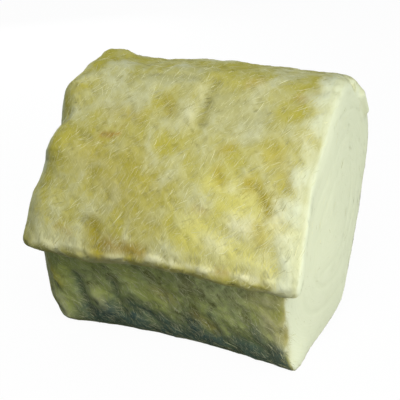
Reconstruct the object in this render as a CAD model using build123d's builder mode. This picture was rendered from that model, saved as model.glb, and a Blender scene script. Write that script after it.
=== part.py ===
from build123d import *
import math
import os

os.makedirs("parts", exist_ok=True)

# Blanket of glass wool that is wound into the roll, in millimetres
blanket_width = 600
blanket_thickness = 50

# Section of the squashed roll as it lies: the foot is its front edge on the floor, the heel its back edge
base_depth = 270
floor_sag = 4
lip_reach = 94
lip_height = 229
lip_gap = 14
roof_bulge = 74
ridge_setback = 156
roll_height = 566
crown_depth = 108
back_reach = 185
back_height = 388

# Roundings of the section's corners, with the notch under the lip left sharp
lip_radius = 16
roof_radius = 700
ridge_radius = 60
crown_radius = 130
back_radius = 160
heel_radius = 85
foot_radius = 50
hem_radius = 14

# Waves of the slumped blanket at even places between the soft ends, from left to right
lip_lift = (0, -4, 10, 8, 0, 2)
roof_dip = (0, 2, -5, 6, 2, -2)
top_dip = (5, 14, 6, 0, 0, 0)
foot_setback = (6, 22, 26, 22, 10, 0)

# Soft ends: how far each corner is drawn in there, from the lip over the top to the notch and the hem
end_depth = 62
left_draw = (8, 70, 92, 94, 50, 56, 32, 50, 8)
right_draw = (0, 4, 4, 6, 2, 54, 2, 0, 0)
end_turn = 70
end_steps = 8

# Slant of the right end inside the lip's turn: how far the inner turns lie back at the notch and the foot
notch_inset = 38
foot_inset = 46

# Seam between the turns, open on both ends
seam_width = 5
seam_depth = 7
seam_radius = 150
eye_share = 0.22

# Corners of the section in the plane across the roll
half_width = blanket_width / 2
body_reach = half_width - end_depth
foot = Vector(-base_depth / 2, -floor_sag)
heel = Vector(base_depth / 2, -floor_sag)
back = Vector(heel.X + back_reach, back_height)
ridge = Vector(foot.X + ridge_setback, roll_height)
crown = Vector(ridge.X + crown_depth, roll_height)
lip = Vector(foot.X - lip_reach, lip_height)
slope = (ridge - lip).normalized()
outward = Vector(-slope.Y, slope.X)
roof = (lip + ridge) / 2 + outward * roof_bulge
hem = lip - outward * blanket_thickness
notch = hem + slope * lip_gap
corners = (lip, roof, ridge, crown, back, heel, foot, notch, hem)
radii = (
    lip_radius,
    roof_radius,
    ridge_radius,
    crown_radius,
    back_radius,
    heel_radius,
    foot_radius,
    0,
    hem_radius,
)
centre = (lip + ridge + crown + back + heel + foot) / 6
mean_radius = 0.44 * roll_height


def section(place, draw, share):
    """Corners at one place along the roll, moved by its waves and drawn in along a parabola at an end."""
    lip_wave = Vector(0, lip_lift[place])
    roof_wave = -outward * roof_dip[place]
    top_wave = Vector(0, -top_dip[place])
    foot_wave = Vector(foot_setback[place], 0)
    still = Vector()
    waves = (lip_wave, roof_wave, top_wave, top_wave, still, still, foot_wave, lip_wave, lip_wave)
    points = []
    for corner, wave, amount in zip(corners, waves, draw):
        inward = slope if corner == notch else (centre - corner).normalized()
        points.append(corner + wave + inward * amount * share**2)
    return points


def roundings(points, wanted):
    """Corner radii, cut down where two roundings would meet on one side."""
    count = len(points)
    sides = [points[(number + 1) % count] - points[number] for number in range(count)]
    reaches = []
    for number in range(count):
        turn = math.radians(sides[number - 1].get_angle(sides[number]))
        reaches.append(wanted[number] * math.tan(turn / 2))
    room = []
    for number in range(count):
        both = reaches[number] + reaches[(number + 1) % count]
        room.append(min(1, 0.95 * sides[number].length / both))
    return [wanted[number] * min(room[number - 1], room[number]) for number in range(count)]


def seam(rim, aside):
    """One side of the seam on an end, from the notch inwards: each turn is one blanket smaller."""
    lip_turn = rim[:7]
    points = [rim[7] + outward * aside]
    shrink = 1 - blanket_thickness / mean_radius
    while shrink > eye_share:
        for corner in lip_turn[len(points) == 1 :]:
            spoke = corner - centre
            points.append(centre + spoke * (shrink + aside / spoke.length))
        shrink -= blanket_thickness / mean_radius
    return points


def on_face(face, point):
    """Place on a flat face of a point of the section, carried along the roll onto it."""
    flat = Vector(0, point.X, point.Y)
    along = (face.origin - flat).dot(face.z_dir) / face.z_dir.X
    return face.to_local_coords(flat + Vector(along, 0, 0))


# Sections from the left rim to the right rim, each with its place along the roll
last = len(top_dip) - 1
shares = []
for step in range(1, end_steps + 1):
    shares.append(math.tan(math.radians(end_turn * step / end_steps)) / math.tan(math.radians(end_turn)))
sections = []
for share in reversed(shares):
    sections.append((-body_reach - end_depth * share, section(0, left_draw, share)))
for place in range(last + 1):
    sections.append((body_reach * (2 * place / last - 1), section(place, left_draw, 0)))
for share in shares:
    sections.append((body_reach + end_depth * share, section(last, right_draw, share)))
left_rim = sections[0][1]
right_rim = sections[-1][1]

# Flat faces of the ends: both cuts, and the slant from the right end's heel to its inset notch and foot
left_face = Plane(origin=(-half_width, 0, 0), z_dir=(-1, 0, 0))
right_face = Plane(origin=(half_width, 0, 0), z_dir=(1, 0, 0))
notch_end = Vector(half_width - notch_inset, right_rim[7].X, right_rim[7].Y)
heel_end = Vector(half_width, right_rim[5].X, right_rim[5].Y)
foot_end = Vector(half_width - foot_inset, right_rim[6].X, right_rim[6].Y)
slant = Plane(origin=foot_end, z_dir=(heel_end - foot_end).cross(notch_end - foot_end))

# Room in front of the slant: it ends at the seam that starts in the notch, so the lip's turn stays
lip_seam = seam(right_rim, 0)[:3]
floor_heel = Vector(heel_end.Y, -2 * seam_depth)
floor_notch = Vector(notch_end.Y, -2 * seam_depth)
with BuildPart() as end_room:
    with BuildSketch(Plane.YZ.offset(body_reach)):
        with BuildLine():
            Polyline(*lip_seam, floor_heel, floor_notch, close=True)
        make_face()
    extrude(amount=2 * end_depth)
    split(bisect_by=slant, keep=Keep.TOP)

# Roll of glass wool: a wavy skin over its sections, a flat where it lies and the seam of its turns
with BuildPart() as wool_roll:
    for along, points in sections:
        with BuildSketch(Plane.YZ.offset(along)):
            with BuildLine():
                FilletPolyline(*points, radius=roundings(points, radii), close=True)
            make_face()
    loft(ruled=True)
    split(bisect_by=Plane.XY, keep=Keep.TOP)
    add(end_room.part, mode=Mode.SUBTRACT)
    for face, rim, first in ((left_face, left_rim, 0), (right_face, right_rim, 2), (slant, right_rim, 2)):
        with BuildSketch(face.offset(-seam_depth)):
            with BuildLine():
                ends = []
                for aside in (seam_width / 2, -seam_width / 2):
                    points = [on_face(face, point) for point in seam(rim, aside)[first:]]
                    soft = roundings(points, [seam_radius] * len(points))
                    ends.append(FilletPolyline(*points, radius=soft[1:-1]))
                Line(ends[0] @ 0, ends[1] @ 0)
                Line(ends[0] @ 1, ends[1] @ 1)
            make_face()
        extrude(amount=2 * seam_depth, mode=Mode.SUBTRACT)

wool_roll.part.label = "wool_roll"
export_step(wool_roll.part, "parts/wool_roll.step")
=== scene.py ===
# %% [markdown]
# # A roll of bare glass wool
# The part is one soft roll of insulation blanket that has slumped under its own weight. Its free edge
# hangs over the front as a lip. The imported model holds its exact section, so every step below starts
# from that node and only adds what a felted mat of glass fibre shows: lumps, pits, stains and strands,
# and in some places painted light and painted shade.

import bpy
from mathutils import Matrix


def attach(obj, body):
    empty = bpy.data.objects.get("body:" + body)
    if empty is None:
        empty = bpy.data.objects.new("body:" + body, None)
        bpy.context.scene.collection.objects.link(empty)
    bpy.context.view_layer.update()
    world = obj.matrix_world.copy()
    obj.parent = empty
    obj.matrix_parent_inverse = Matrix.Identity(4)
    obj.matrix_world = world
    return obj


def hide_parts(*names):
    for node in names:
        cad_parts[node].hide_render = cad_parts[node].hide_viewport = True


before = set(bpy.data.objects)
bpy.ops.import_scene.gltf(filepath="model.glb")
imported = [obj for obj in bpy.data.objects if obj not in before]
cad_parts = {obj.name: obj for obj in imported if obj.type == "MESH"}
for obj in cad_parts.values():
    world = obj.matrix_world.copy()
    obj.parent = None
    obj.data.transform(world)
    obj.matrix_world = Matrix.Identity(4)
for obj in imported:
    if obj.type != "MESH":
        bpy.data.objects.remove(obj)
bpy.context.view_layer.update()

# %% [markdown]
# ## Camera
# The photograph looks down on the front and the right end. The lens and the place come from fitting the
# outline of the solid to the outline in the photograph, so the picture needs no shift. A ray through a
# pixel of the picture then finds the place on the wool where a pit or a stain belongs.

# %% Camera at the photograph's viewing angle
import math
import bpy
from mathutils import Vector

picture_side = 400
view_azimuth = math.radians(22.528)
view_elevation = math.radians(23.792)
scene = bpy.context.scene
camera = bpy.data.objects.new("camera", bpy.data.cameras.new("camera"))
camera.location = (0.80082, -1.91147, 1.19814)
camera.rotation_euler = (math.radians(90) - view_elevation, 0, view_azimuth)
camera.data.sensor_width = 36
camera.data.lens = 96.287
scene.collection.objects.link(camera)
scene.camera = camera
bpy.context.view_layer.update()
print("camera at", tuple(round(v, 3) for v in camera.location))

# %% Direction of the ray through one pixel
eye = camera.matrix_world.translation.copy()
camera_turn = camera.matrix_world.to_3x3()
focal_pixels = camera.data.lens / camera.data.sensor_width * picture_side


def sight(column, row):
    """Direction from the camera through a pixel of the picture."""
    middle = picture_side / 2
    ahead = Vector(((column - middle) / focal_pixels, (middle - row) / focal_pixels, -1))
    return (camera_turn @ ahead).normalized()


print("middle of the picture looks along", tuple(round(v, 3) for v in sight(200, 200)))

# %% [markdown]
# ## Bulk of the wool
# Felted wool has no hard edge. The solid's facets could be rounded with a subdivision surface, but its
# seam grooves would pinch. Here the grooves are closed on a copy, a voxel remesh gives an even skin of
# small quads, and a few rounds of averaging even it out. The grooves come back later as soft creases.

# %% Copy the node and find the floors of its seam grooves
import bmesh
from mathutils.bvhtree import BVHTree

millimetre = 0.001
wool_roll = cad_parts["wool_roll"]
body = bpy.data.objects.new("wool_body", wool_roll.data.copy())
scene.collection.objects.link(body)
shell = bmesh.new()
shell.from_mesh(body.data)
bmesh.ops.remove_doubles(shell, verts=shell.verts, dist=1e-6)
shell.normal_update()
flats = {}
for face in shell.faces:
    facing = tuple(round(part, 3) for part in face.normal)
    flats[facing] = flats.get(facing, 0) + face.calc_area()
end_flats = sorted((facing for facing in flats if abs(facing[0]) > 0.9), key=flats.get)[-3:]
groove_floor = []
planes = []
for facing in end_flats:
    facing = Vector(facing).normalized()
    beside = [face for face in shell.faces if face.normal.dot(facing) > 0.9999]
    outermost = max(facing.dot(face.calc_center_median()) for face in beside)
    planes.append((facing, outermost))
    for face in beside:
        depth = outermost - facing.dot(face.calc_center_median())
        if 0.001 < depth < 0.02:
            groove_floor.append((face, facing * depth))
print("end flats face", end_flats, "and groove faces found:", len(groove_floor))

# %% Lift the groove floors until the ends are flat, and remember where the seam runs
lifted = {}
for face, lift in groove_floor:
    for corner in face.verts:
        lifted[corner] = lift
for corner, lift in lifted.items():
    corner.co += lift
    for facing, outermost in planes:
        proud = facing.dot(corner.co) - outermost
        if facing.dot(lift) > 0 and proud > 0:
            corner.co -= facing * proud
seam_corners = []
seam_faces = []
for face, _ in groove_floor:
    seam_faces.append(range(len(seam_corners), len(seam_corners) + len(face.verts)))
    seam_corners.extend(corner.co.copy() for corner in face.verts)
seam_tree = BVHTree.FromPolygons(seam_corners, [list(face) for face in seam_faces])
shell.to_mesh(body.data)
shell.free()
print("groove corners lifted:", len(lifted))

# %% Remesh the copy into an even skin
import numpy as np

skin_voxel = 0.0042
felted = body.modifiers.new("felted", "REMESH")
felted.mode = "VOXEL"
felted.voxel_size = skin_voxel
felted.adaptivity = 0
depsgraph = bpy.context.evaluated_depsgraph_get()
skin = bpy.data.meshes.new_from_object(body.evaluated_get(depsgraph))
body.modifiers.clear()
body.data = skin
skin.name = "wool_body"
print("remeshed faces:", len(skin.polygons))

# %% Read, average and place the skin's points


def numbers(items, name, width, kind=float):
    """One property of many mesh elements as rows of numbers."""
    found = np.empty(len(items) * width, kind)
    items.foreach_get(name, found)
    return found.reshape(-1, width)


links = numbers(skin.edges, "vertices", 2, np.int32)
neighbours = np.bincount(links.ravel(), minlength=len(skin.vertices))


def averaged(values, rounds):
    """Values of the skin's points, each moved half way to the mean of its neighbours, some rounds over."""
    values = np.array(values, float).reshape(len(neighbours), -1)
    for _ in range(rounds):
        for axis in range(values.shape[1]):
            one = values[:, axis]
            total = np.bincount(links[:, 0], one[links[:, 1]], len(one))
            total += np.bincount(links[:, 1], one[links[:, 0]], len(one))
            values[:, axis] = (one + total / neighbours) / 2
    return values


def place_skin(points):
    """Moves the skin's points and returns its new normals."""
    skin.vertices.foreach_set("co", np.asarray(points, np.float32).ravel())
    skin.update()
    return numbers(skin.vertex_normals, "vector", 3)


points = averaged(numbers(skin.vertices, "co", 3), 5)
print("skin points:", len(points))

# %% [markdown]
# ## Soft edges
# A cut end of wool turns over softly, and more so in some places than in others. A bevel would round
# every edge alike. So each softer place gets a weight from 0 to 1, and the skin moves by that weight
# towards a copy of itself that has been averaged many times: the rim of the right end, the inner turns
# that lie back in it, and the corners at the lip's right end and at the right end of the front.

# %% Melt the rim, the inner turns and two corners of the right end


def even_rise(values, low, width):
    """0 up to low, then an even rise to 1 over a width."""
    return np.clip((values - low) / width, 0, 1)


def melted(places, weight, rounds):
    """Places moved by a weight towards where some rounds of averaging take them."""
    return places + weight[:, None] * (averaged(places, rounds) - places)


corner_fade = 0.03
right_edge = even_rise(points[:, 0], 0.17, 0.1) * even_rise(points[:, 2], 0.225, 0.07)
points = melted(points, right_edge, 120)
inner_end = averaged(even_rise(place_skin(points)[:, 0], 0.9, 0.08), 12)[:, 0] ** 2
points = melted(points, inner_end, 40)
across, behind, above = points.T
front_corner = even_rise(across, 0.2, corner_fade) * even_rise(-behind, 0.02, corner_fade)
front_corner *= even_rise(above, 0.02, corner_fade) * even_rise(-above, -0.215, corner_fade)
lip_corner = even_rise(across, 0.25, corner_fade) * even_rise(-behind, 0.16, corner_fade)
lip_corner *= even_rise(-above, -0.265, corner_fade)
points = melted(points, np.maximum(front_corner, lip_corner), 60)
print("points on the soft rim:", int((right_edge > 0.5).sum()))

# %% [markdown]
# ## Rims of the ends
# No two places on the rim of a soft roll stand equally far out. Sculpting by hand can't be run again as
# a script, so each rim has a short list of bearings round the section, with the millimetres by which
# the wool swells or sinks there. The swell fades out towards the middle of the roll.

# %% Fuller and slacker places on the rims of both ends
section_centre = np.array((0.0422, 0.2902))
rim_from = 0.16
rim_fade = 0.1
full_radius = 0.2
foot_place = (0.26, -0.11, 0)
foot_width = 0.06
foot_push = (0.014, -0.004, 0)


def bearings(places):
    """Degrees round the section: 0 is straight up, and the front counts up."""
    spokes = places[:, 1:] - section_centre
    return np.degrees(np.arctan2(-spokes[:, 0], spokes[:, 1]))


left_rim = {-20: 0, -6: -9, 8: -3, 21: 25, 26: 0, 31: -20, 36: -19, 42: -6, 50: 5}
left_rim |= {56: 6, 62: -8, 70: -12, 76: -8, 82: 5, 88: 7, 96: 2, 120: 0}
right_rim = {-162: 2, -120: -2, -100: 5, -75: 11, -45: 14, -28: 12, -16: 0}
right_rim |= {0: 11, 20: 13, 53: 8, 80: 0, 149: 6, 175: 2}
for side, rim in ((-1, left_rim), (1, right_rim)):
    swell = np.interp(bearings(points), list(rim), list(rim.values()), period=360)
    swell *= even_rise(side * points[:, 0], rim_from, rim_fade) ** 2
    spokes = points[:, 1:] - section_centre
    radius = np.linalg.norm(spokes, axis=1)
    share = np.clip(radius / full_radius, 0, 1) ** 2
    points[:, 1:] += spokes / radius[:, None] * (swell * share * millimetre)[:, None]
foot_tip = np.exp(-((np.linalg.norm(points - foot_place, axis=1) / foot_width) ** 2))
points += foot_tip[:, None] * foot_push
points[:, 2] = np.maximum(points[:, 2], 0)
normals = place_skin(points)
print("rims moved by up to", max(map(abs, [*left_rim.values(), *right_rim.values()])), "mm")

# %% [markdown]
# ## Where each point is on the roll
# Fibres follow the blanket, so the finish needs coordinates that follow it too. Around the roll the way
# along the section is measured from the floor edge over the roof, and on the ends the distance from
# the seam is what stays the same along one turn. Both are worked out once and kept with the skin.

# %% Measure the way round the section and the distance from the seam
bearing = bearings(points)
middle_ring = np.flatnonzero(np.abs(points[:, 0]) < skin_voxel)
middle_ring = middle_ring[np.argsort(bearing[middle_ring])]
steps = np.linalg.norm(np.diff(points[middle_ring][:, 1:], axis=0), axis=1)
way_round = np.interp(bearing, bearing[middle_ring], np.concatenate(([0], np.cumsum(steps))))


def smooth_step(values, low, high):
    """0 below low, 1 above high and a soft rise between them."""
    share = np.clip((values - low) / (high - low), 0, 1)
    return share * share * (3 - 2 * share)


cut_end = smooth_step(np.abs(normals[:, 0]), 0.3, 0.8)
seam_away = np.array([seam_tree.find_nearest(Vector(point))[3] for point in points])
print("way round:", round(float(way_round.max()), 3), "m, seam reach:", round(float(seam_away.max()), 3))

# %% [markdown]
# ## Relief
# Hand-torn wool is lumpy at several sizes at once. One displace modifier could do this with one texture,
# but it can't follow the roll's own coordinates, so seeded noise is added up in code: slow lumps, clumps
# as wide as a thumb, clots half as wide, and tufts that are drawn out along the fibres. The ends are cut
# and stay smoother, while the left rim and the front below the lip are rougher than the rest.

# %% Noise on the skin's points
from mathutils import noise


def wool_noise(places, sizes, shift):
    """Smooth seeded noise from -1 to 1 at many places, with features of this size or of these sizes."""
    scaled = places / np.asarray(sizes) + shift
    return np.array([noise.noise(Vector(place)) for place in scaled])


comb_angle = math.radians(55)
along = points[:, 0] * math.cos(comb_angle) + way_round * math.sin(comb_angle)
aside = way_round * math.cos(comb_angle) - points[:, 0] * math.sin(comb_angle)
combed_places = np.column_stack((along, aside, 3 * points[:, 2]))
lumps = wool_noise(points, 0.12, 11.3)
clumps = wool_noise(points, 0.040, 4.7)
clots = wool_noise(points, 0.019, 27.1)
tufts = wool_noise(combed_places, (0.030, 0.009, 0.05), 8.9)
print("noise at", len(points), "points")

# %% Add the noise up, in millimetres
lump_rise = 4.2
clump_rise = 2.6
clot_rise = 1.7
tuft_rise = 1.5
seam_dip = 0.6
left_rim_rise = 2.2
front_rise = 1.2
on_side = 1 - cut_end
relief = lump_rise * lumps * (0.35 + 0.65 * on_side)
relief += (clump_rise * clumps + clot_rise * clots + tuft_rise * tufts) * (0.05 + 0.95 * on_side)
relief -= seam_dip * np.exp(-((seam_away / 0.005) ** 2)) * cut_end
left_rim_zone = smooth_step(-points[:, 0], 0.23, 0.3) * on_side
front_zone = smooth_step(-points[:, 2], -0.22, -0.18) * smooth_step(-points[:, 1], 0.04, 0.1)
relief += clots * (left_rim_rise * left_rim_zone + front_rise * front_zone * on_side)
print("relief from", round(float(relief.min()), 1), "to", round(float(relief.max()), 1), "mm")

# %% [markdown]
# ## Marks of this roll
# The photograph shows pits where wool has been pulled out, a fold in the roof, creases in the lip, and
# patches that are paler, browner or greener than the rest. Each is written as a line between two pixels
# of the picture, with a radius and a height in millimetres, and a ray finds where it lies on the skin.
# Paler wool near the right end, painted light on the front's right side and painted shade on the left rim
# are too wide for such lines, so they follow the roll's form. Some lines paint light and shade, not the
# wool's colour: painted shade in folds, creases and hollows, and painted light along the lip's lower edge.

# %% Marks from pixel to pixel: radius, height, and what it does to the colour
skin_tree = BVHTree.FromPolygons(points.tolist(), [list(face.vertices) for face in skin.polygons])


def met(column, row):
    """Point of the skin that shows at a pixel."""
    spot = skin_tree.ray_cast(eye, sight(column, row))[0]
    if spot is None:
        raise ValueError(f"pixel {column}, {row} misses the wool")
    return np.array(spot)


marks = [
    # broad patches of the roof
    (92, 150, 122, 196, 50, 0, {"ochre": 0.4}),
    (128, 150, 150, 190, 40, 0, {"ochre": 0.3}),
    (114, 112, 138, 118, 24, 0, {"ochre": 0.4}),
    (122, 212, 150, 224, 32, 0, {"ochre": 0.3}),
    (214, 98, 248, 114, 44, 0, {"olive": 0.35, "pale": 0.7}),
    (150, 82, 194, 82, 30, 0, {"pale": 0.55}),
    (180, 112, 190, 124, 26, 0, {"pale": 0.55}),
    (196, 146, 212, 160, 24, 0, {"pale": 0.5}),
    (214, 182, 236, 190, 28, 0, {"lemon": 0.7}),
    (274, 152, 290, 174, 28, 0, {"lemon": 0.8}),
    (196, 232, 240, 262, 42, 0, {"lemon": 0.8}),
    (236, 200, 284, 250, 50, 2, {"lemon": 0.75}),
    (240, 258, 284, 276, 26, 2, {"lemon": 0.8}),
    (234, 225, 248, 228, 20, 0, {"cream_and_painted_light": 0.8}),
    (278, 222, 286, 262, 26, 2, {"cream_and_painted_light": 0.9}),
    (204, 240, 220, 246, 16, 0, {"cream_and_painted_light": 0.6}),
    (222, 186, 232, 188, 12, 0, {"cream_and_painted_light": 0.5}),
    # pits and pulled-out places of the roof, and a crease painted olive as painted shade
    (249, 184, 257, 188, 15, -1, {"ochre": 0.9}),
    (263, 196, 269, 213, 11, -2, {"ochre": 1.0, "olive": 0.4}),
    (274, 186, 279, 212, 10, 0, {"cream_and_painted_light": 0.7}),
    (272, 150, 284, 168, 24, -1, {"ochre": 0.6}),
    (288, 176, 290, 188, 11, -1, {"ochre": 0.8}),
    (217, 172, 221, 182, 11, -1, {"ochre": 0.7}),
    (222, 150, 232, 148, 11, -1, {"ochre": 0.7}),
    (258, 228, 262, 245, 14, -1, {"ochre": 0.6}),
    (246, 140, 270, 144, 8, -1, {"olive": 0.5}),
    (262, 112, 270, 124, 16, -2, {"olive": 0.5}),
    (166, 100, 171, 112, 14, -4, {"ochre": 0.6}),
    (128, 112, 138, 120, 14, -3, {"ochre": 0.6}),
    (92, 84, 98, 90, 16, -3, {"olive": 0.5}),
    (80, 130, 86, 136, 13, -3, {"olive": 0.6}),
    (86, 165, 92, 172, 16, -3, {"olive": 0.4}),
    # fold of the roof, and the crease under the top edge: painted shade in their grooves and a painted
    # highlight on the fold's raised side
    (201, 121, 206, 102, 13, -7, {"olive": 0.9}),
    (206, 102, 216, 82, 12, -7, {"olive": 0.8}),
    (190, 116, 200, 86, 20, 4, {"cream_and_painted_light": 0.5}),
    (113, 54, 124, 55, 22, 14, {}),
    (131, 76, 156, 74, 9, -2, {"olive": 0.35}),
    (156, 74, 196, 77, 8, -2, {"olive": 0.2}),
    (318, 94, 340, 93, 8, -2, {"ochre": 0.3}),
    # rusty and brown spots
    (102, 134, 111, 135, 6, -2, {"rust": 1.0, "olive": 0.8}),
    (112, 134, 119, 134, 5, 0, {"rust": 0.8}),
    (119, 53, 126, 54, 7, 0, {"rust": 0.7}),
    (250, 84, 260, 82, 12, 0, {"rust": 0.3}),
    (299, 98, 305, 101, 9, -2, {"rust": 0.4}),
    (196, 208, 204, 212, 9, -2, {"rust": 0.35}),
    (106, 244, 140, 252, 14, 0, {"rust": 0.5, "olive": 0.9}),
    (218, 272, 226, 273, 8, 0, {"rust": 0.4}),
    (58, 226, 70, 233, 9, 0, {"rust": 0.3}),
    # dark patch and creases of the lip, with painted shade in a crease and painted light along its lower
    # edge
    (93, 224, 99, 252, 18, -4, {"ochre": 1.0, "olive": 0.6}),
    (36, 240, 70, 245, 8, 1, {"cream_and_painted_light": 0.8}),
    (70, 245, 105, 256, 7, 2, {"cream_and_painted_light": 0.6}),
    (105, 256, 144, 256, 6, 1, {"cream_and_painted_light": 0.3}),
    (144, 256, 192, 268, 8, 1, {"cream_and_painted_light": 0.9}),
    (192, 268, 242, 278, 8, 1, {"cream_and_painted_light": 0.9}),
    (242, 278, 290, 288, 9, 1, {"cream_and_painted_light": 1.0}),
    (84, 220, 83, 251, 9, -4, {"olive": 0.3}),
    (40, 234, 76, 242, 20, 4, {"pale": 1.0}),
    (78, 228, 79, 248, 13, 2, {"pale": 0.7}),
    # uneven lower edge of the lip
    (44, 243, 50, 245, 9, 4, {}),
    (90, 252, 98, 255, 9, 6, {}),
    (108, 255, 112, 256, 7, 4, {}),
    (124, 255, 130, 255, 8, -3, {}),
    (150, 257, 156, 259, 8, 4, {}),
    (176, 263, 182, 265, 8, -3, {}),
    (200, 269, 206, 270, 8, 5, {}),
    (236, 276, 242, 277, 8, 4, {}),
    (266, 282, 272, 283, 8, 5, {}),
    # pale clumps
    (155, 84, 172, 84, 18, 3, {"pale": 0.8}),
    (180, 122, 190, 116, 16, 3, {"pale": 0.7}),
    (84, 77, 92, 74, 14, 3, {"pale": 0.6}),
    (70, 152, 78, 164, 18, 3, {"pale": 0.6}),
    (128, 148, 138, 154, 16, 3, {"pale": 0.4}),
    (172, 162, 182, 176, 18, 3, {"pale": 0.5}),
    (244, 170, 248, 177, 7, 5, {"pale": 0.8}),
    (258, 152, 268, 192, 8, 0, {"pale": 0.7}),
    (350, 80, 355, 85, 10, -14, {}),
    (360, 94, 364, 110, 12, 11, {}),
    (302, 138, 310, 150, 20, 3, {"cream_and_painted_light": 0.7}),
    (298, 190, 302, 232, 18, 3, {"cream_and_painted_light": 0.8}),
    (288, 240, 290, 262, 20, 4, {"cream_and_painted_light": 0.9}),
    (210, 240, 222, 262, 18, 3, {"pale": 0.6}),
    (234, 225, 250, 222, 18, 3, {"pale": 0.5}),
    (240, 262, 262, 272, 16, 3, {"pale": 0.6}),
    (330, 100, 340, 100, 16, 2, {"pale": 0.6}),
    (164, 248, 176, 256, 14, 2, {"pale": 0.5}),
    # folds and stains of the front below the lip, with painted shade in its folds and hollows and painted
    # light on its lit bulges and right side
    (74, 276, 92, 317, 13, -10, {"painted_front_shade": 0.7}),
    (112, 284, 122, 312, 13, -7, {"painted_front_shade": 0.6}),
    (60, 296, 68, 313, 17, 7, {"cream_and_painted_light": 0.9}),
    (96, 294, 106, 308, 15, 8, {"cream_and_painted_light": 0.45}),
    (54, 270, 60, 282, 14, 4, {"ochre": 0.5}),
    (130, 304, 170, 326, 24, -3, {"painted_front_shade": 0.9}),
    (236, 342, 268, 352, 22, -3, {"painted_front_shade": 0.9}),
    (156, 292, 170, 300, 16, -4, {"rust": 0.3}),
    (194, 316, 216, 332, 14, -4, {"rust": 0.25, "olive": 0.4}),
    (258, 298, 280, 326, 30, 2, {"cream_and_painted_light": 0.3, "ochre": 0.3}),
    (180, 280, 240, 300, 26, 3, {"pale": 0.2}),
    (282, 306, 283, 316, 9, 5, {"cream_and_painted_light": 0.5}),
    (282, 330, 283, 340, 9, -4, {"ochre": 0.4}),
    (280, 350, 281, 356, 8, 4, {}),
]
print("marks:", len(marks))

# %% Add the marks to the relief, the stains, and the painted light and shade
tint_names = ("lemon", "cream_and_painted_light", "ochre", "olive", "rust", "pale", "painted_front_shade")
stains_and_painted_light = {name: np.zeros(len(points)) for name in tint_names}


def add_tint(tint, strength):
    """Keeps the stronger of a tint that is there and a new one, for colours of the wool and for painted
    light and shade alike.
    """
    stains_and_painted_light[tint] = np.maximum(stains_and_painted_light[tint], strength)


for first_column, first_row, last_column, last_row, radius, height, tints in marks:
    first_spot = met(first_column, first_row)
    reach = met(last_column, last_row) - first_spot
    share = np.clip((points - first_spot) @ reach / max(reach @ reach, 1e-9), 0, 1)
    away = np.linalg.norm(points - first_spot - share[:, None] * reach, axis=1)
    fade = np.exp(-((away / (radius * millimetre)) ** 2))
    relief += height * fade
    for tint, strength in tints.items():
        add_tint(tint, strength * fade)
print("relief from", round(float(relief.min()), 1), "to", round(float(relief.max()), 1), "mm with marks")

# %% Paler wool, painted light and painted shade that follow the roll's form
near_cut = smooth_step(points[:, 0], 0.06, 0.27) * smooth_step(points[:, 2], 0.2, 0.26)
# Painted light: the right side of the front below the lip is painted brighter and yellower.
front_painted_light = smooth_step(points[:, 0] + 0.02 * clumps, 0.185, 0.25) * front_zone
# Painted shade: the side of the roll near its left end is painted olive.
left_painted_shade = smooth_step(-points[:, 0], 0.255, 0.295) * on_side
add_tint("cream_and_painted_light", 0.9 * front_painted_light)
add_tint("ochre", 0.35 * front_painted_light)
add_tint("olive", 0.6 * left_painted_shade)
add_tint("pale", near_cut * np.clip(0.25 + clumps + 0.5 * clots, 0, 0.6))
print("stains:", {name: round(float(values.mean()), 3) for name, values in stains_and_painted_light.items()})

# %% Lay the relief on the skin
relief = averaged(relief, 1)[:, 0]
off_floor = smooth_step(points[:, 2], 0.001, 0.012)
points = points + normals * (relief * off_floor * millimetre)[:, None]
points[:, 2] = np.maximum(points[:, 2], 0)
normals = place_skin(points)
skin.polygons.foreach_set("use_smooth", np.ones(len(skin.polygons), bool))
print("wool from", points.min(0).round(3), "to", points.max(0).round(3))

# %% [markdown]
# ## Values that the finish reads
# A material can read numbers that are kept with the mesh. The skin keeps how far a point is on a cut
# end, how high its clump stands, how strong each tint is and where light and shade are painted. Pale
# wool reaches from the right end onto the roof with a ragged edge, partly as paler wool and partly as
# painted light. Painted shade rises from the floor on the front, greys what faces up and darkens the rim
# where the roof turns over into the right end, and painted light brightens the lower part of the cut
# ends. The strands take the same numbers from the place they grow from, so skin and strands stay one
# colour.

# %% Keep the values with the skin
front_face = smooth_step(-normals[:, 1], 0.5, 0.8) * smooth_step(-points[:, 2], -0.235, -0.2)
front_face = averaged(front_face * on_side, 4)[:, 0]
ragged = points[:, 0] + 0.07 * (0.4 - points[:, 2]) + 0.03 * clumps + 0.014 * clots
# The pale roof beside the right end is partly paler wool and partly painted light, where the roof turns
# towards the lit end.
pale_roof = 0.8 * smooth_step(ragged, 0.225, 0.29) * smooth_step(points[:, 2], 0.2, 0.24)
pale_end = np.maximum(smooth_step(np.abs(normals[:, 0]), 0.55, 0.97), pale_roof)
# Painted shade: the front darkens to blue-green towards the floor, with a ragged edge.
floor_painted_shade = smooth_step(-points[:, 2] + 0.05 * clumps + 0.02 * lumps, -0.11, -0.035) * front_face
add_tint("painted_front_shade", 0.95 * floor_painted_shade * smooth_step(points[:, 0], -0.26, -0.19))
kept = dict(stains_and_painted_light, cut_end=cut_end, pale_end=pale_end, front_face=front_face)
kept["clump"] = np.clip(0.9 * clumps + 0.6 * clots + 0.35 * tufts, -1, 1)
# Painted shade: what faces up is greyed a little.
kept["top_painted_shade"] = averaged(smooth_step(normals[:, 2], 0.72, 0.97) * on_side, 4)[:, 0]
# Painted light: the lower part of each cut end is painted brighter.
kept["end_painted_light"] = 0.2 * smooth_step(-points[:, 2], -0.32, -0.08) * cut_end
# Painted shade: the rim where the roof turns over into the right end is darkened.
kept["rim_painted_shade"] = np.exp(-(((normals[:, 0] - 0.6) / 0.25) ** 2)) * smooth_step(points[:, 0], 0.2, 0.26)
kept["seam"] = np.exp(-((seam_away / 0.004) ** 2)) * cut_end


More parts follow.
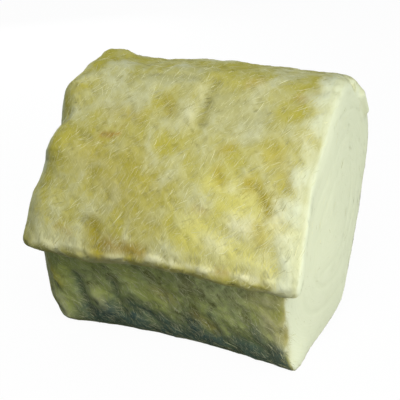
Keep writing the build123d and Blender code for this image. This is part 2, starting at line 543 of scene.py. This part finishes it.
def keep_values(mesh, values):
    """Stores numbers, or rows of three, with a mesh's points."""
    for name, numbers_kept in values.items():
        wide = numbers_kept.ndim == 2
        attribute = mesh.attributes.new(name, "FLOAT_VECTOR" if wide else "FLOAT", "POINT")
        flat = numbers_kept.astype(np.float32).ravel()
        attribute.data.foreach_set("vector" if wide else "value", flat)


sheet_place = np.column_stack((points[:, 0], way_round, seam_away))
keep_values(skin, dict(kept, sheet_place=sheet_place))
print("kept:", sorted(kept))

# %% [markdown]
# ## Nodes written as expressions
# A finish is a formula over the surface, and it is easier to read as one. The small class below wraps a
# node's output socket, so that sums and products of sockets add Math nodes by themselves.

# %% A socket that can be reckoned with


class Wire:
    """An output socket of a material. Operators on it add Math nodes to the material."""

    def __init__(self, tree, socket=None):
        self.tree = tree
        self.socket = socket

    def node(self, kind, settings=None, sockets=None, output=0):
        """Adds a node: first its settings, then the values or links of its sockets."""
        made = self.tree.nodes.new(kind)
        for name, value in (settings or {}).items():
            setattr(made, name, value)
        for name, value in (sockets or {}).items():
            if isinstance(value, Wire):
                self.tree.links.new(value.socket, made.inputs[name])
            else:
                made.inputs[name].default_value = value
        return Wire(self.tree, made.outputs[output] if len(made.outputs) else None)

    def reckon(self, operation, first, second):
        """Adds one Math node."""
        return self.node("ShaderNodeMath", {"operation": operation}, {0: first, 1: second})

    def __add__(self, other):
        return self.reckon("ADD", self, other)

    def __sub__(self, other):
        return self.reckon("SUBTRACT", self, other)

    def __rsub__(self, other):
        return self.reckon("SUBTRACT", other, self)

    def __mul__(self, other):
        return self.reckon("MULTIPLY", self, other)

    __radd__ = __add__
    __rmul__ = __mul__

    def kept(self, name, output="Fac"):
        """A value that is kept with the mesh."""
        return self.node("ShaderNodeAttribute", {"attribute_name": name}, output=output)

    def ramp(self, low, high):
        """0 below low, 1 above high and a soft rise between them."""
        limits = {"Value": self, "From Min": low, "From Max": high}
        return self.node("ShaderNodeMapRange", {"interpolation_type": "SMOOTHSTEP"}, limits)

    def blend(self, first, second, way="MIX"):
        """Two colours mixed by this value."""
        settings = {"data_type": "RGBA", "blend_type": way}
        return self.node("ShaderNodeMix", settings, {0: self, 6: first, 7: second}, 2)


def shade(red, green, blue):
    """A colour as the screen shows it, from 0 to 255, in the linear light that nodes use."""
    linear = []
    for part in (red / 255, green / 255, blue / 255):
        linear.append(part / 12.92 if part <= 0.04045 else ((part + 0.055) / 1.055) ** 2.4)
    return (*linear, 1)


straw = shade(184, 175, 74)
print("straw is", [round(part, 3) for part in straw])

# %% [markdown]
# ## Finish of the wool
# Raw glass wool is a dull straw yellow, cream where it is fluffed up and olive where it is thin or
# packed. Fibres lie in streaks that cross each other. Noise is stretched along the fibres on the
# roll's own coordinates for the streaks, and a Bump node lets them catch the light. There is no gloss.

# %% Streaks, mottle and clouds of the wool
wool = bpy.data.materials.new("glass_wool")
wool.use_nodes = True
wool.node_tree.nodes.clear()
start = Wire(wool.node_tree)
sheet = start.kept("sheet_place", "Vector")
clump_height = start.kept("clump")
ends = start.kept("cut_end")
strand_tone = start.kept("strand_tone")


def streaks(angle, length, width, shift):
    """Noise drawn out along fibres that lie at an angle to the roll's length."""
    places = {
        "Vector": sheet,
        "Location": (shift, 2 * shift, 0),
        "Rotation": (0, 0, math.radians(angle)),
        "Scale": (length, width, 1),
    }
    placed = start.node("ShaderNodeMapping", {"vector_type": "TEXTURE"}, places)
    grain = {"Vector": placed, "Scale": 1, "Detail": 3, "Roughness": 0.55, "Distortion": 0.4}
    return start.node("ShaderNodeTexNoise", None, grain)


rising = streaks(52, 0.030, 0.0030, 0.13)
steep = streaks(84, 0.034, 0.0034, 0.41)
falling = streaks(-48, 0.040, 0.0036, 0.77)
under_lip = start.kept("front_face")
roof_streaks = rising * 0.6 + steep * 0.4
side_streaks = roof_streaks * (1 - under_lip) + falling * under_lip
turns_scale = {0: sheet, 1: (0, 12, 260)}
turns_place = start.node("ShaderNodeVectorMath", {"operation": "MULTIPLY"}, turns_scale)
turn_grain = {"Vector": turns_place, "Scale": 1, "Detail": 3, "Roughness": 0.6}
end_streaks = start.node("ShaderNodeTexNoise", None, turn_grain)
mottle_grain = {"Vector": sheet, "Scale": 26, "Detail": 4, "Roughness": 0.6, "Distortion": 0.8}
mottle = start.node("ShaderNodeTexNoise", None, mottle_grain)
cloud_grain = {"Vector": sheet, "Scale": 9, "Detail": 2, "Roughness": 0.5, "Distortion": 1.0}
clouds = start.node("ShaderNodeTexNoise", None, cloud_grain)
fluff = clump_height * 0.25 + (mottle - 0.5) * 1.1 + (clouds - 0.5) * 2.0 + (side_streaks - 0.5) * 0.5
print("nodes for the pattern:", len(wool.node_tree.nodes))

# %% Colours of the wool, with painted light and painted shade, one laid over the other
olive = shade(150, 143, 58)
cream = shade(207, 206, 162)
hair = shade(234, 233, 186)
lemon = shade(224, 216, 114)
cream_and_painted_light = shade(236, 233, 188)
ochre = shade(176, 159, 44)
rust = shade(180, 136, 56)
end_cream = shade(226, 230, 199)
end_grey = shade(220, 225, 191)
end_painted_light_white = shade(238, 241, 213)
painted_shade_teal = shade(46, 76, 80)
front_painted_shade_green = shade(160, 188, 114)
front_painted_shade_dark = shade(112, 116, 62)
top_shade_grey = shade(236, 237, 240)
rim_shade_grey = shade(233, 232, 222)
colour = fluff.ramp(-0.45, 0.75).blend(straw, cream)
end_colour = end_streaks.ramp(0.2, 0.8).blend(end_grey, end_cream)
# Painted light: the lower part of each cut end is painted brighter.
end_colour = start.kept("end_painted_light").blend(end_colour, end_painted_light_white)
colour = (roof_streaks.ramp(0.56, 0.72) * 0.4).blend(colour, hair)
# Painted shade: the front below the lip is tinted a cool green and darkened in patches, as shade under the
# lip.
colour = (under_lip * 0.5).blend(colour, front_painted_shade_green)
colour = (under_lip * (mottle + clouds)).ramp(1.0, 1.25).blend(colour, front_painted_shade_dark)
colour = start.kept("lemon").blend(colour, lemon)
colour = (start.kept("pale") * 0.75).blend(colour, cream)
# Bright cream: paler wool in some places, painted light along the lip's lower edge, on the front's lit
# bulges and right side, and on the roof's fold.
colour = (start.kept("cream_and_painted_light") * fluff.ramp(-0.8, 0.5)).blend(colour, cream_and_painted_light)
colour = start.kept("ochre").blend(colour, ochre)
colour = (start.kept("olive") * 0.7).blend(colour, olive)
colour = (start.kept("rust") * 0.8).blend(colour, rust)
colour = start.kept("pale_end").blend(colour, end_colour)
colour = (start.kept("seam") * 0.35).blend(colour, end_grey)
# Painted shade on the rim where the roof turns over into the right end.
colour = start.kept("rim_painted_shade").blend(colour, rim_shade_grey, "MULTIPLY")
# Painted shade in blue-green, low on the front and in its folds and hollows.
colour = (start.kept("painted_front_shade") * 0.9).blend(colour, painted_shade_teal)
# Painted shade: what faces up is greyed a little.
colour = start.kept("top_painted_shade").blend(colour, top_shade_grey, "MULTIPLY")
colour = strand_tone.ramp(0.0, 1.2).blend(colour, hair)
colour = (strand_tone * -1).ramp(0.0, 1.0).blend(colour, olive)
print("nodes with the colours:", len(wool.node_tree.nodes))

# %% Bump and shader of the wool
height = side_streaks * (1 - ends) + end_streaks * ends * 0.15 + mottle * (1 - ends) * 0.4
bump = start.node("ShaderNodeBump", None, {"Strength": 0.8, "Distance": 0.002, "Height": height})
dull_fibre = {
    "Base Color": colour,
    "Roughness": 0.95 - side_streaks * 0.12,
    "Specular IOR Level": 0.18,
    "Normal": bump,
}
fibre = start.node("ShaderNodeBsdfPrincipled", None, dull_fibre)
start.node("ShaderNodeOutputMaterial", None, {"Surface": fibre})
print("wool nodes:", len(wool.node_tree.nodes))

# %% The skin stands for the solid
skin.materials.clear()
skin.materials.append(wool)
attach(body, "root")
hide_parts("wool_roll")
print("skin faces:", len(skin.polygons))

# %% [markdown]
# ## Strands
# What makes the surface read as glass wool is the loose fibre that lies on it. Hair particles would not
# survive an export, and thousands of separate objects would be slow. So the strands are made as arrays:
# roots spread evenly over the skin, four places along each strand laid back on the skin, a thin
# three-sided tube round them, and one joined mesh for each part of the roll. A tube this thin would have
# a dark side that reads as dirt, so each strand takes the normal of the skin below and is lit like it.

# %% Places where strands can grow
skin_tree = BVHTree.FromPolygons(points.tolist(), [list(face.vertices) for face in skin.polygons])
quads = np.array([face.vertices[:] for face in skin.polygons if len(face.vertices) == 4])
quad_middles = points[quads].mean(1)
quad_normals = normals[quads].mean(1)
quad_normals /= np.linalg.norm(quad_normals, axis=1)[:, None]
diagonals = points[quads[:, 2]] - points[quads[:, 0]], points[quads[:, 3]] - points[quads[:, 1]]
quad_areas = np.linalg.norm(np.cross(*diagonals), axis=1) / 2
quad_swirl = wool_noise(quad_middles, 0.07, 51.0)
print("places for strands:", len(quads))

# %% Paths of strands on the skin
strand_shares = (0, 0.35, 0.7, 1)


def strand_paths(chosen, angles, lengths, lifts, bends):
    """Four places along each strand, laid on the skin and lifted off it."""
    roots = quad_middles[chosen]
    upward = quad_normals[chosen]
    level = np.tile((1.0, 0.0, 0.0), (len(chosen), 1))
    on_end = np.abs(upward[:, 0]) > 0.75
    spokes = roots[on_end][:, 1:] - section_centre
    level[on_end] = np.column_stack((np.zeros(len(spokes)), -spokes[:, 1], spokes[:, 0]))
    level -= upward * (level * upward).sum(1)[:, None]
    level /= np.linalg.norm(level, axis=1)[:, None]
    rise = np.cross(upward, level)
    heading = level * np.cos(angles)[:, None] + rise * np.sin(angles)[:, None]
    sideways = np.cross(upward, heading)
    paths = np.empty((len(chosen), 4, 3))
    for number, share in enumerate(strand_shares):
        free = roots + heading * (lengths * share)[:, None]
        free += sideways * (bends * lengths * share * share)[:, None]
        lift = lifts[:, number]
        for strand in range(len(chosen)):
            spot, facing, _, _ = skin_tree.find_nearest(Vector(free[strand]))
            paths[strand, number] = np.array(spot + facing * lift[strand])
    return paths


print("places along a strand:", len(strand_shares))

# %% Corners and faces of one strand, and a joined mesh of many
strand_faces = []
strand_spread = []
for side in range(3):
    after = (side + 1) % 3
    low = side / 3
    high = (side + 1) / 3
    middle = (side + 0.5) / 3
    strand_faces.append((6, after, side))
    strand_spread.append(((0, middle), (0.35, high), (0.35, low)))
    strand_faces.append((side, after, 3 + after, 3 + side))
    strand_spread.append(((0.35, low), (0.35, high), (0.7, high), (0.7, low)))
    strand_faces.append((3 + side, 3 + after, 7))
    strand_spread.append(((0.7, low), (0.7, high), (1, middle)))


def strand_mesh(name, paths, radii, facing, values):
    """One joined mesh of thin closed tubes, pointed at both ends and lit like the skin below."""
    count = len(paths)
    run = paths[:, 2] - paths[:, 1]
    run /= np.maximum(np.linalg.norm(run, axis=1), 1e-9)[:, None]
    prop = np.where(np.abs(run[:, 2:]) < 0.8, (0.0, 0.0, 1.0), (1.0, 0.0, 0.0))
    first = np.cross(run, prop)
    first /= np.linalg.norm(first, axis=1)[:, None]
    second = np.cross(run, first)
    corners = np.empty((count, 8, 3))
    for side in range(3):
        turn = 2 * math.pi * side / 3
        spoke = (first * math.cos(turn) + second * math.sin(turn)) * radii[:, None]
        corners[:, side] = paths[:, 1] + spoke
        corners[:, 3 + side] = paths[:, 2] + spoke * 0.8
    corners[:, 6] = paths[:, 0]
    corners[:, 7] = paths[:, 3]
    corners[:, :, 2] = np.maximum(corners[:, :, 2], 0)
    pattern = np.concatenate([np.array(face) for face in strand_faces])
    loops = (np.arange(count)[:, None] * 8 + pattern).ravel()
    sizes = np.tile([len(face) for face in strand_faces], count)
    starts = np.concatenate(([0], np.cumsum(sizes)[:-1]))
    mesh = bpy.data.meshes.new(name)
    mesh.vertices.add(count * 8)
    mesh.vertices.foreach_set("co", corners.astype(np.float32).ravel())
    mesh.loops.add(len(loops))
    mesh.loops.foreach_set("vertex_index", loops.astype(np.int32))
    mesh.polygons.add(len(sizes))
    mesh.polygons.foreach_set("loop_start", starts.astype(np.int32))
    mesh.polygons.foreach_set("use_smooth", np.ones(len(sizes), bool))
    mesh.update(calc_edges=True)
    mesh.normals_split_custom_set_from_vertices(np.repeat(facing, 8, axis=0).tolist())
    cells = math.ceil(math.sqrt(count))
    cell = np.column_stack((np.arange(count) % cells, np.arange(count) // cells))
    flat = np.concatenate([np.array(face) for face in strand_spread])
    places = (cell[:, None, :] + 0.1 + 0.8 * flat) / cells
    layer = mesh.uv_layers.new(name="OFBake")
    layer.uv.foreach_set("vector", places.astype(np.float32).ravel())
    keep_values(mesh, {key: np.repeat(value, 8, axis=0) for key, value in values.items()})
    mesh.materials.append(wool)
    return mesh


print("faces of a strand:", len(strand_faces))

# %% Parts of the roll, and how fibres are combed there
is_end = np.abs(quad_normals[:, 0]) > 0.7
is_front = (quad_normals[:, 1] < -0.5) & (quad_middles[:, 2] < 0.215) & ~is_end
is_front &= quad_middles[:, 1] > -0.2
is_roof = (quad_normals[:, 1] < -0.3) & (quad_normals[:, 2] > -0.3) & ~is_end & ~is_front
is_rest = ~(is_end | is_front | is_roof) & (quad_middles[:, 2] > 0.02)
near_lip = is_roof & (quad_middles[:, 2] < 0.27)
comb = np.where(is_front, -50.0, np.where(near_lip, 86.0, np.where(is_roof, 54.0, 12.0)))
print("quads of roof, front, rest and ends:", is_roof.sum(), is_front.sum(), is_rest.sum(), is_end.sum())

# %% Grow the strands of each part of the roll
draws = np.random.default_rng(7)
regions = [
    # name, where, strands, how light, spread of angle, shortest and longest in millimetres
    ("roof_strands", is_roof, 12000, 0.14, 16, 16, 48),
    ("front_strands", is_front, 6500, 0.3, 18, 18, 46),
    ("back_strands", is_rest, 12000, 0.14, 40, 14, 36),
    ("end_strands", is_end, 2000, 0.14, 16, 10, 30),
]
for name, where, count, lightness, unruly, shortest, longest in regions:
    places = np.flatnonzero(where)
    odds = quad_areas[places] / quad_areas[places].sum()
    chosen = draws.choice(places, count, p=odds)
    angles = comb[chosen] + 22 * quad_swirl[chosen] + draws.normal(0, unruly, count)
    angles = np.radians(angles + 180 * draws.integers(0, 2, count))
    lengths = draws.uniform(shortest, longest, count) * millimetre
    loose = draws.uniform(0, 1, count) ** 9
    lifts = np.outer(np.ones(count), (-0.7, -0.05, 0.0, -0.5)) + np.outer(loose, (0, 0.3, 0.8, 2.5))
    bends = draws.normal(0, 0.18, count)
    paths = strand_paths(chosen, angles, lengths, lifts * millimetre, bends)
    thick = draws.uniform(0, 1, count) ** 3
    radii = (0.2 + 0.55 * thick) * millimetre
    roots = quads[chosen, 0]
    values = {key: value[roots] for key, value in kept.items()}
    values["sheet_place"] = sheet_place[roots]
    values["strand_tone"] = np.clip(draws.normal(lightness, 0.35, count), -0.7, 1) + 0.15 * thick
    strands = bpy.data.objects.new(name, strand_mesh(name, paths, radii, quad_normals[chosen], values))
    scene.collection.objects.link(strands)
    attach(strands, "root")
    print(name, count, "strands,", 12 * count, "triangles")

# %% [markdown]
# ## Floor and light
# The photograph is lit softly from the right and above, and its background is white. A pale floor would
# throw light up under the lip and wash out its shade, so the floor is white only to the camera and
# dull to everything else. A large key lamp lights the roof, a lamp on the right lights the cut end, a
# small near one reaches the front's right side below the lip, one behind keeps the back readable, and a
# weak, cool sky fills the rest.

# %% Floor that shows white and bounces little
floor_reach = 6


def shown_white(wire):
    """1 for what the camera sees, whether straight, in a mirror or through glass."""
    rays = ("Is Camera Ray", "Is Glossy Ray", "Is Transmission Ray")
    straight, mirrored, through = [wire.node("ShaderNodeLightPath", output=ray) for ray in rays]
    return (straight + mirrored + through).ramp(0, 1)


floor_corners = [(-1, -1), (1, -1), (1, 1), (-1, 1)]
floor_mesh = bpy.data.meshes.new("floor")
floor_points = [(floor_reach * across, floor_reach * behind, 0) for across, behind in floor_corners]
floor_mesh.from_pydata(floor_points, [], [(0, 1, 2, 3)])
floor = bpy.data.objects.new("floor", floor_mesh)
floor.location.z = -0.0005
scene.collection.objects.link(floor)
paving = bpy.data.materials.new("pale_floor")
paving.use_nodes = True
paving.node_tree.nodes.clear()
ground = Wire(paving.node_tree)
dull = ground.node("ShaderNodeBsdfDiffuse", None, {"Color": (0.12, 0.12, 0.12, 1)})
pale_paint = ground.node("ShaderNodeBsdfDiffuse", None, {"Color": (0.85, 0.85, 0.85, 1)})
white = ground.node("ShaderNodeEmission", None, {"Color": (1, 1, 1, 1), "Strength": 1})
bright = ground.node("ShaderNodeMixShader", None, {0: 0.965, 1: pale_paint, 2: white})
both = ground.node("ShaderNodeMixShader", None, {0: shown_white(ground), 1: dull, 2: bright})
ground.node("ShaderNodeOutputMaterial", None, {"Surface": both})
floor_mesh.materials.append(paving)
print("floor:", 2 * floor_reach, "m wide")

# %% Lamps and sky
target = Vector((0, 0.03, 0.28))


def lamp(name, direction, distance, size, power, tint):
    """A square area lamp that looks at the middle of the roll."""
    data = bpy.data.lights.new(name, "AREA")
    data.size = size
    data.energy = power
    data.color = tint
    made = bpy.data.objects.new(name, data)
    away = Vector(direction).normalized()
    made.location = target + away * distance
    made.rotation_euler = away.to_track_quat("Z", "Y").to_euler()
    scene.collection.objects.link(made)
    return made


lamp("key_lamp", (0.25, -0.55, 0.72), 2.6, 1.2, 44, (1.0, 0.975, 0.94))
lamp("end_lamp", (1.0, 0.33, -0.01), 2.6, 0.6, 26.5, (1.0, 1.0, 1.0))
lamp("side_lamp", (0.8, -0.6, -0.04), 1.0, 0.4, 2.15, (1.0, 1.0, 0.97))
lamp("back_lamp", (-0.7, 0.8, 0.25), 2.6, 1.2, 24, (1.0, 1.0, 0.97))
world = bpy.data.worlds.new("studio")
scene.world = world
world.use_nodes = True
world.node_tree.nodes.clear()
sky = Wire(world.node_tree)
weak = sky.node("ShaderNodeBackground", None, {"Color": (0.86, 1.0, 1.08, 1), "Strength": 0.33})
clear = sky.node("ShaderNodeBackground", None, {"Color": (1, 1, 1, 1), "Strength": 1})
backdrop = sky.node("ShaderNodeMixShader", None, {0: shown_white(sky), 1: weak, 2: clear})
sky.node("ShaderNodeOutputWorld", None, {"Surface": backdrop})
scene.view_settings.view_transform = "Standard"
print("lamps:", [light.name for light in bpy.data.lights])
